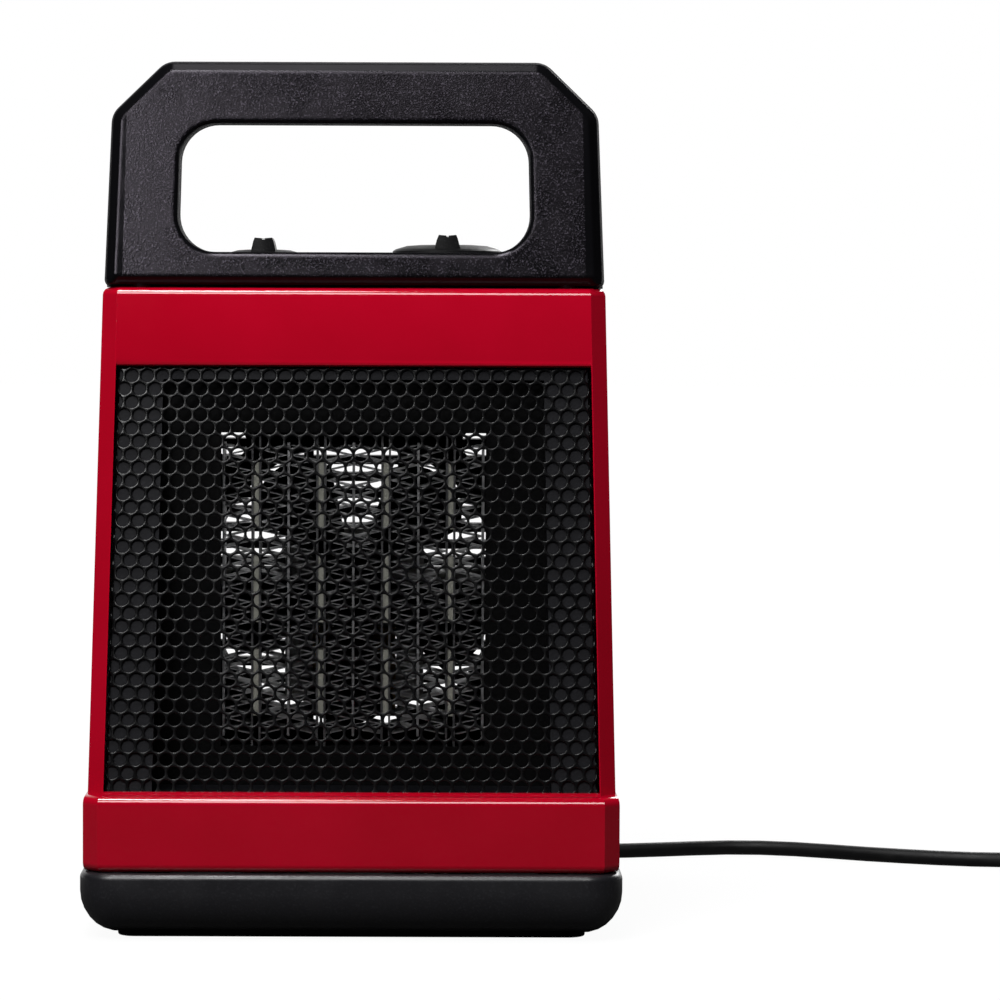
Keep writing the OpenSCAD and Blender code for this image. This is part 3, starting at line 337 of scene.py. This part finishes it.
def metal(name, colour, shade, roughness, grain_mm, stretch):
    """Rolled or brushed metal: streaks along one way, and dull patches."""
    material, tree, shader, place = new_material(name, colour, roughness, metallic=1.0)
    streaks = noise(tree, place, grain_mm, detail=3, stretch=stretch)
    patches = spread(tree, noise(tree, place, size_mm=14, detail=3), (0.35, 0.7))
    tree.links.new(blend_colours(tree, patches, colour, shade), shader.inputs["Base Color"])
    rough = spread(tree, streaks, (0.3, 0.7), (roughness - 0.1, roughness + 0.12))
    tree.links.new(rough, shader.inputs["Roughness"])
    bumps(tree, shader, [(streaks, 0.12, 0.05)])
    return material


def rubber(name, colour, bloom, roughness):
    """Matte rubber with a faint pale bloom and dust."""
    material, tree, shader, place = new_material(name, colour, roughness, specular=0.2)
    dust = spread(tree, noise(tree, place, size_mm=12, detail=5), (0.45, 0.8))
    tree.links.new(blend_colours(tree, dust, colour, bloom), shader.inputs["Base Color"])
    rough = spread(tree, dust, (0, 1), (roughness - 0.05, roughness + 0.15))
    tree.links.new(rough, shader.inputs["Roughness"])
    bumps(tree, shader, [(noise(tree, place, size_mm=0.5), 0.12, 0.1)])
    return material


def woven(name, colour, thread):
    """Strap weave: fine loops with a fuzzy sheen."""
    material, tree, shader, place = new_material(name, colour, 0.9, specular=0.2)
    shader.inputs["Sheen Weight"].default_value = 0.4
    loops = tree.nodes.new("ShaderNodeTexVoronoi")
    loops.inputs["Scale"].default_value = 1 / (LOOP_MM * MM)
    tree.links.new(place, loops.inputs["Vector"])
    depth = loops.outputs["Distance"]
    tree.links.new(blend_colours(tree, depth, thread, colour), shader.inputs["Base Color"])
    bumps(tree, shader, [(depth, 0.6, 0.4)])
    return material


ACROSS_STRIP = (1, 0.1, 1)
UPRIGHT = (1, 1, 0.2)

RED = gloss_plastic("red_gloss", (0.36, 0.001, 0.013), (0.32, 0.0006, 0.01))
GRAINED_BLACK = grained_plastic(
    "grained_black", (0.012, 0.0115, 0.014), (0.055, 0.05, 0.06),
    roughness=0.5, grain_mm=0.7, depth=0.5, specular=0.25)
# The handle's polished colour is partly painted shade on its bevels and side border
HANDLE_BLACK = grained_plastic(
    "handle_black", (0.0017, 0.0015, 0.002), (0.047, 0.0415, 0.053),
    roughness=0.29, grain_mm=0.68, depth=0.52, specular=0.18, polished_and_shaded=(0.0025, 0.0025, 0.003))
SMOOTH_BLACK = grained_plastic(
    "smooth_black", (0.0088, 0.0086, 0.0104), (0.016, 0.0157, 0.0185),
    roughness=0.36, grain_mm=0.9, depth=0.12, specular=0.5)
INNER_BLACK = grained_plastic(
    "inner_black", (0.002, 0.002, 0.0022), (0.005, 0.005, 0.0055),
    roughness=0.7, grain_mm=0.9, depth=0.3, specular=0.06)
FRAME_GREY = grained_plastic(
    "frame_grey", (0.003, 0.003, 0.0042), (0.01, 0.01, 0.013),
    roughness=0.6, grain_mm=0.5, depth=0.5, specular=0.12)
GRILLE_PAINT = grained_plastic(
    "grille_paint", (0.002, 0.002, 0.0023), (0.004, 0.004, 0.0045),
    roughness=0.26, grain_mm=0.6, depth=0.1, specular=0.22)
KNOB_BLACK = grained_plastic(
    "knob_black", (0.006, 0.006, 0.0065), (0.016, 0.016, 0.017),
    roughness=0.45, grain_mm=0.6, depth=0.2, specular=0.15)
IVORY = grained_plastic(
    "ivory_plastic", (0.62, 0.57, 0.45), (0.7, 0.66, 0.55),
    roughness=0.5, grain_mm=1.2, depth=0.1)
CERAMIC = grained_plastic(
    "fired_ceramic", (0.2, 0.2, 0.172), (0.27, 0.27, 0.232),
    roughness=0.7, grain_mm=0.8, depth=0.4)
TAPE = grained_plastic(
    "winding_tape", (0.42, 0.24, 0.06), (0.6, 0.38, 0.12),
    roughness=0.5, grain_mm=2.5, depth=0.3)
WHITE_PRINT = grained_plastic(
    "white_print", (0.62, 0.62, 0.61), (0.72, 0.72, 0.71),
    roughness=0.55, grain_mm=0.4, depth=0.1, specular=0.3)
FIN_METAL = metal(
    "fin_aluminium", (0.44, 0.44, 0.45), (0.3, 0.3, 0.31),
    roughness=0.42, grain_mm=1.5, stretch=ACROSS_STRIP)
PLATE_METAL = metal(
    "plate_aluminium", (0.16, 0.16, 0.165), (0.1, 0.1, 0.105),
    roughness=0.45, grain_mm=1.5, stretch=ACROSS_STRIP)
STEEL = metal(
    "zinc_steel", (0.5, 0.5, 0.5), (0.4, 0.39, 0.36),
    roughness=0.38, grain_mm=0.8, stretch=UPRIGHT)
BRASS = metal(
    "nickel_brass", (0.66, 0.58, 0.4), (0.55, 0.46, 0.28),
    roughness=0.26, grain_mm=0.8, stretch=ACROSS_STRIP)
FOOT_RUBBER = rubber("foot_rubber", (0.008, 0.008, 0.008), (0.02, 0.02, 0.02), roughness=0.75)
CORD_RUBBER = rubber("cord_rubber", (0.004, 0.004, 0.0043), (0.009, 0.009, 0.009), roughness=0.5)
STRAP = woven("strap_weave", (0.012, 0.012, 0.013), (0.04, 0.04, 0.042))

FINISH_OF_SLOT = {
    "red_plastic": RED, "black_plastic": GRAINED_BLACK, "foot_rubber": FOOT_RUBBER,
    "grille_paint": GRILLE_PAINT, "fin_aluminium": FIN_METAL, "ceramic": CERAMIC,
    "inner_plastic": INNER_BLACK, "steel": STEEL, "coil_tape": TAPE, "ivory_plastic": IVORY,
    "knob_plastic": KNOB_BLACK, "cord_rubber": CORD_RUBBER, "tie_strap": STRAP, "brass": BRASS,
}
FINISH_OF_NODE = {
    "base_tray": SMOOTH_BLACK, "grille_baffle": FRAME_GREY, "electrode_plates": PLATE_METAL,
    "handle_front": HANDLE_BLACK, "handle_rear": HANDLE_BLACK,
}


# Carried-over solids: their own finish, with rounded moulded edges
ROUNDING_MM = {
    "front_bezel": 0.9, "rear_housing": 0.9, "handle_front": 1.1, "handle_rear": 1.1,
    "top_cover": 0.6, "base_tray": 1.0, "foot_strips": 0.8, "rear_grille": 0.5,
    "thermostat_knob": 0.5, "selector_knob": 0.5, "plug_body": 0.5, "plug_blades": 0.25,
    "strain_relief": 0.3, "case_screws": 0.15, "base_screws": 0.15, "handle_screws": 0.15,
}
RING_FACED = ("handle_front",)
SHARP_ANGLE = radians(32)
FLAT_ANGLE = radians(0.4)
WELD_GAP = 0.005
ROUND_STEPS = 3


def dress(name, material):
    """Gives a solid its finish, merges its flat facets and rounds its sharp edges."""
    node = nodes[name]
    mesh = node.data
    mesh.materials.clear()
    mesh.materials.append(material)
    normals = mesh.attributes.get("custom_normal")
    if normals:
        mesh.attributes.remove(normals)
    mesh.polygons.foreach_set("use_smooth", [True] * len(mesh.polygons))
    weld = node.modifiers.new("weld", "WELD")
    weld.merge_threshold = WELD_GAP * MM
    if name in ROUNDING_MM:
        # A face that runs round an opening stays in facets, or the opening would be closed
        if name not in RING_FACED:
            flatten = node.modifiers.new("flatten", "DECIMATE")
            flatten.decimate_type = "DISSOLVE"
            flatten.angle_limit = FLAT_ANGLE
        bevel = node.modifiers.new("round", "BEVEL")
        bevel.width = ROUNDING_MM[name] * MM
        bevel.segments = ROUND_STEPS
        bevel.limit_method = "ANGLE"
        bevel.angle_limit = SHARP_ANGLE
        even = node.modifiers.new("even", "WEIGHTED_NORMAL")
        even.keep_sharp = True
    split = node.modifiers.new("split", "EDGE_SPLIT")
    split.split_angle = SHARP_ANGLE


for part in frame["record"]["subparts"]:
    node_name = part["node"]
    dress(node_name, FINISH_OF_NODE.get(node_name) or FINISH_OF_SLOT[part["material_slot"]])


# New pieces
def add_piece(name, data, material, body):
    """Puts a new piece in the scene, on its body and with its finish."""
    piece = bpy.data.objects.new(name, data)
    scene.collection.objects.link(piece)
    data.materials.append(material)
    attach(piece, body)
    return piece


def finished_mesh(name, form):
    """A mesh from the built form, which is then freed."""
    mesh = bpy.data.meshes.new(name)
    form.to_mesh(mesh)
    form.free()
    return mesh


def bridge(form, first, second):
    """Faces between two closed loops of as many points."""
    for i in range(len(first)):
        j = (i + 1) % len(first)
        form.faces.new((first[i], first[j], second[j], second[i]))


# Mains cord: down from the strain relief, along the floor, then wound up and tied
def cord_points():
    """Points along the cord's middle, in metres."""
    points = [Vector(point) for point in CORD_ROUTE]
    for angle in range(0, COIL_TURNS + 1, COIL_STEP):
        r = COIL_R + COIL_PITCH * abs(angle - COIL_LIFT) / 360
        climb = min(max((angle - COIL_LIFT + 90) / 180, 0), 1)
        points.append(Vector((
            COIL_CENTRE[0] + r * sin(radians(angle)),
            COIL_CENTRE[1] + r * cos(radians(angle)),
            COIL_Z + COIL_PITCH * climb,
        )))
    end = points[-1]
    points += [end - Vector((0, TAIL_LEN * third / 3, 0)) for third in (1, 2, 3)]
    return [point * MM for point in points]


route = cord_points()
cord_line = bpy.data.curves.new("mains_cord", "CURVE")
cord_line.dimensions = "3D"
cord_line.bevel_depth = CORD_D / 2 * MM
cord_line.bevel_resolution = CORD_FACETS
cord_line.use_fill_caps = True
spline = cord_line.splines.new("POLY")
spline.points.add(len(route) - 1)
for knot, point in zip(spline.points, route):
    knot.co = (*point, 1)
spline.use_smooth = True
cord = add_piece("mains_cord", cord_line, CORD_RUBBER, "chassis")
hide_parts("power_cord", "cord_coil")


# Strap round the coil
def rounded_loop(low, high, r, steps=5):
    """Points of a rounded rectangle, anticlockwise."""
    loop = []
    for x, y, start in ((high[0] - r, high[1] - r, 0), (low[0] + r, high[1] - r, 90),
                        (low[0] + r, low[1] + r, 180), (high[0] - r, low[1] + r, 270)):
        for step in range(steps + 1):
            angle = radians(start + 90 * step / steps)
            loop.append((x + r * cos(angle), y + r * sin(angle)))
    return loop


def strap_mesh():
    """Closed band with rounded corners in the room of the tie's solid."""
    low, high = (Vector(corner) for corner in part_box("cord_tie"))
    wall = Vector((STRAP_T, STRAP_T)) * MM
    outer = rounded_loop(low.yz, high.yz, STRAP_R_OUTSIDE * MM)
    inner = rounded_loop(low.yz + wall, high.yz - wall, STRAP_R_INSIDE * MM)
    form = bmesh.new()
    rows = [
        [form.verts.new((x, y, z)) for y, z in loop]
        for x, loop in ((low.x, inner), (low.x, outer), (high.x, outer), (high.x, inner))
    ]
    for first, second in zip(rows, rows[1:] + rows[:1]):
        bridge(form, first, second)
    bmesh.ops.recalc_face_normals(form, faces=form.faces)
    return finished_mesh("coil_strap", form)


strap = add_piece("coil_strap", strap_mesh(), STRAP, "chassis")
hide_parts("cord_tie")
strap_edge = strap.modifiers.new("round", "BEVEL")
strap_edge.width = STRAP_EDGE * MM
strap_edge.segments = 2


# Perforated grille sheet with its sides bent back
def flat_half(up):
    """Half the width of the sheet's flat part, up along the face."""
    return side_x(BAND_TOP + up * cos(FRONT_LEAN)) - SHEET_SIDE - BEND_R


def sheet_point(x, up, depth):
    """Place on the sheet: x along its width, bends included, and depth below its painted face."""
    flat = flat_half(up)
    past = abs(x) - flat
    side = 1 if x > 0 else -1
    if past <= 0:
        return on_front(x, up, -SHEET_RECESS - depth)
    turn = min(past / BEND_R, pi / 2)
    run = max(past - BEND_R * pi / 2, 0)
    out_x = flat + (BEND_R - depth) * sin(turn)
    down = BEND_R - (BEND_R - depth) * cos(turn) + run
    return on_front(side * out_x, up, -SHEET_RECESS - down)


def hole_rings():
    """Loops of one cell of the sheet with their depths, from its face round the lip to its back."""
    hole_r = HOLE_D / 2
    cell_r = HOLE_PITCH / 2 / cos(radians(30))
    cell = []
    for k in range(CELL_CORNERS):
        a, b = (radians(60 * i + 30) for i in (k, k + 1))
        for step in range(POINTS_PER_SIDE):
            share = step / POINTS_PER_SIDE
            cell.append((cell_r * (cos(a) + (cos(b) - cos(a)) * share),
                         cell_r * (sin(a) + (sin(b) - sin(a)) * share)))
    turns = [atan2(y, x) for x, y in cell]

    def circle(r):
        return [(r * cos(turn), r * sin(turn)) for turn in turns]

    turned = HOLE_LIP * LIP_TURN
    return [
        (cell, 0), (circle(hole_r + HOLE_LIP), 0), (circle(hole_r + turned), turned),
        (circle(hole_r), HOLE_LIP), (circle(hole_r), SHEET_T), (cell, SHEET_T),
    ]


def grille_mesh():
    """Rows of holes in staggered order over the flat face and the bent sides."""
    row_pitch = HOLE_PITCH * cos(radians(30))
    up_low = (SHEET_LOW - BAND_TOP) / cos(FRONT_LEAN)
    up_top = (SHEET_TOP - BAND_TOP) / cos(FRONT_LEAN)
    rows = int((up_top - up_low - HOLE_PITCH) / row_pitch)
    flange_run = BEND_R * pi / 2 + SHEET_FLANGE - BEND_R - HOLE_PITCH / 2
    rings = hole_rings()
    form = bmesh.new()
    for row in range(rows + 1):
        up = up_top - HOLE_PITCH / 2 - row * row_pitch
        flat = flat_half(up)
        for column in range(-SHEET_COLUMNS, SHEET_COLUMNS + 1):
            x = (column + (row % 2) / 2) * HOLE_PITCH
            if abs(x) - flat > flange_run:
                continue
            loops = [[form.verts.new(sheet_point(x + dx, up + dy, depth)) for dx, dy in ring]
                     for ring, depth in rings]
            for first, second in zip(loops, loops[1:]):
                bridge(form, first, second)
    bmesh.ops.remove_doubles(form, verts=form.verts, dist=JOIN_GAP * MM)
    for face in form.faces:
        face.smooth = True
    return finished_mesh("grille_sheet", form)


sheet = add_piece("grille_sheet", grille_mesh(), GRILLE_PAINT, "chassis")
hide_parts("front_grille")
sheet_split = sheet.modifiers.new("split", "EDGE_SPLIT")
sheet_split.split_angle = SHEET_SHARP


# Printed marks: pointer lines in the grips' grooves, and ticks on the deck beside the knobs
def bar(form, start, end, width, thick):
    """Flat bar from start to end, in millimetres, lying on its underside."""
    start, end = Vector(start), Vector(end)
    length = (end - start).normalized()
    across = Vector((-length.y, length.x, 0)).normalized() * width / 2
    up = length.cross(across).normalized() * thick
    if up.z < 0:
        up.negate()
    corners = [start - across, end - across, end + across, start + across]
    low = [form.verts.new(point * MM) for point in corners]
    high = [form.verts.new((point + up) * MM) for point in corners]
    form.faces.new(low[::-1])
    form.faces.new(high)
    bridge(form, low, high)


def add_marks(name, bars, body):
    """One printed piece made of bars."""
    form = bmesh.new()
    for start, end, width, thick in bars:
        bar(form, start, end, width, thick)
    bmesh.ops.recalc_face_normals(form, faces=form.faces)
    return add_piece(name, finished_mesh(name, form), WHITE_PRINT, body)


def pointer(x, knob_d, grip_h):
    """Line in the groove on a knob's grip, from near its rim inwards."""
    z = KNOB_LOW + grip_h - POINTER_SINK
    start = (x, KNOB_Y - knob_d / 2 + POINTER_RIM, z)
    end = (x, KNOB_Y - knob_d / 4 - POINTER_GAP, z)
    return start, end, POINTER_W, POINTER_T


def deck_tick(x, knob_d, degrees, gap, length, width):
    """Radial mark on the deck beside a knob."""
    way = radians(degrees)
    ends = []
    for run in (0, length):
        r = knob_d / 2 + gap + run
        ends.append((x + r * sin(way), KNOB_Y - r * cos(way), DECK_Z))
    return *ends, width, PRINT_T


deck_ticks = [
    deck_tick(-KNOB_X, SELECTOR_D, degrees, **SELECTOR_TICK) for degrees in SELECTOR_STOPS]
for degrees in range(SCALE_ENDS[0], SCALE_ENDS[1] + 1, SCALE_STEP):
    tick = SCALE_END_TICK if degrees in SCALE_ENDS else SCALE_TICK
    deck_ticks += [deck_tick(KNOB_X, THERMOSTAT_D, side * degrees, **tick) for side in (-1, 1)]
add_marks("thermostat_pointer", [pointer(KNOB_X, THERMOSTAT_D, THERMOSTAT_GRIP)], "thermostat")
add_marks("selector_pointer", [pointer(-KNOB_X, SELECTOR_D, SELECTOR_GRIP)], "selector")
add_marks("deck_marks", deck_ticks, "chassis")


# Floor, white surroundings and studio light, in metres and watts
WHITE = (1, 1, 1, 1)
FLOOR_COLOUR = (0.045, 0.045, 0.045)
FLOOR_REACH = 12.0
LIFT_REACH = (0.3, 1.2)
LIFT = (0.95, 1)
FLOOR_BEHIND = (0.1, 0.6)
SKY_BEHIND = (0.5, 0.85)
SOFT_LEVEL = 0.16
ROOM_LEVEL = 0.02
LAMPS = (
    ("key_light", (-0.6, -2.6, 3.2), (0, 0, 0.2), (2.2, 1.5), 120),
    ("sheen_light", (-0.28, -0.55, 0.51), (-0.1, 0, 0.28), (0.18, 0.18), 2.3),
    ("edge_light", (-0.2, -0.35, 1.75), (0, 0, 0.2), (0.35, 0.3), 13),
    ("top_light", (-0.05, 0.38, 1.75), (0, 0, 0.3), (0.35, 0.3), 0.7),
    ("rear_light", (0.9, 1.7, 1.1), (0, 0, 0.15), (1.0, 0.8), 24),
)


def ray_kinds(tree):
    """Two numbers: 1 for what is looked at, straight or through glass, and 1 for a mirror image."""
    path = tree.nodes.new("ShaderNodeLightPath").outputs
    looked = joined(tree, "MAXIMUM", path["Is Camera Ray"], path["Is Transmission Ray"])
    return looked, path["Is Glossy Ray"]


def floor_material():
    """Pale floor that looks white; in mirrors it is white behind the object and plain in front."""
    material, tree, shader, place = new_material("pale_floor", FLOOR_COLOUR, 0.9, specular=0.0)
    away = tree.nodes.new("ShaderNodeVectorMath")
    away.operation = "LENGTH"
    tree.links.new(place, away.inputs[0])
    looked, mirrored = ray_kinds(tree)
    behind = spread(tree, along(tree, place, "Y"), FLOOR_BEHIND)
    shown = joined(tree, "MAXIMUM", looked, joined(tree, "MULTIPLY", mirrored, behind))
    lift = joined(tree, "MULTIPLY", spread(tree, away.outputs["Value"], LIFT_REACH, LIFT), shown)
    glow = tree.nodes.new("ShaderNodeEmission")
    glow.inputs["Color"].default_value = WHITE
    tree.links.new(lift, glow.inputs["Strength"])
    both = tree.nodes.new("ShaderNodeAddShader")
    tree.links.new(shader.outputs[0], both.inputs[0])
    tree.links.new(glow.outputs[0], both.inputs[1])
    tree.links.new(both.outputs[0], tree.nodes["Material Output"].inputs["Surface"])
    return material


def studio_level(tree):
    """Level of the surroundings: white where looked at, in mirrors white behind, dim in front."""
    looked, mirrored = ray_kinds(tree)
    direction = tree.nodes.new("ShaderNodeTexCoord").outputs["Generated"]
    behind = spread(tree, along(tree, direction, "Y"), SKY_BEHIND, (ROOM_LEVEL, 1))
    level = tree.nodes.new("ShaderNodeMix")
    level.inputs["A"].default_value = SOFT_LEVEL
    tree.links.new(mirrored, level.inputs["Factor"])
    tree.links.new(behind, level.inputs["B"])
    return joined(tree, "MAXIMUM", level.outputs["Result"], looked)


def softbox(name, at, aim_at, size, watts):
    """Rectangular lamp that the camera doesn't see."""
    lamp = bpy.data.lights.new(name, "AREA")
    lamp.shape = "RECTANGLE"
    lamp.size, lamp.size_y = size
    lamp.energy = watts
    piece = bpy.data.objects.new(name, lamp)
    piece.visible_camera = False
    scene.collection.objects.link(piece)
    piece.location = at
    piece.rotation_euler = (Vector(aim_at) - Vector(at)).to_track_quat("-Z", "Y").to_euler()


floor_mesh = bpy.data.meshes.new("floor")
floor_sides = ((-1, -1), (1, -1), (1, 1), (-1, 1))
floor_corners = [(x * FLOOR_REACH, y * FLOOR_REACH, 0) for x, y in floor_sides]
floor_mesh.from_pydata(floor_corners, [], [(0, 1, 2, 3)])
floor_mesh.materials.append(floor_material())
floor = bpy.data.objects.new("floor", floor_mesh)
scene.collection.objects.link(floor)

world = bpy.data.worlds.new("studio")
scene.world = world
world.use_nodes = True
sky = world.node_tree
sky.nodes["Background"].inputs["Color"].default_value = WHITE
sky.links.new(studio_level(sky), sky.nodes["Background"].inputs["Strength"])
for lamp_sizes in LAMPS:
    softbox(*lamp_sizes)

scene.view_settings.view_transform = "Standard"
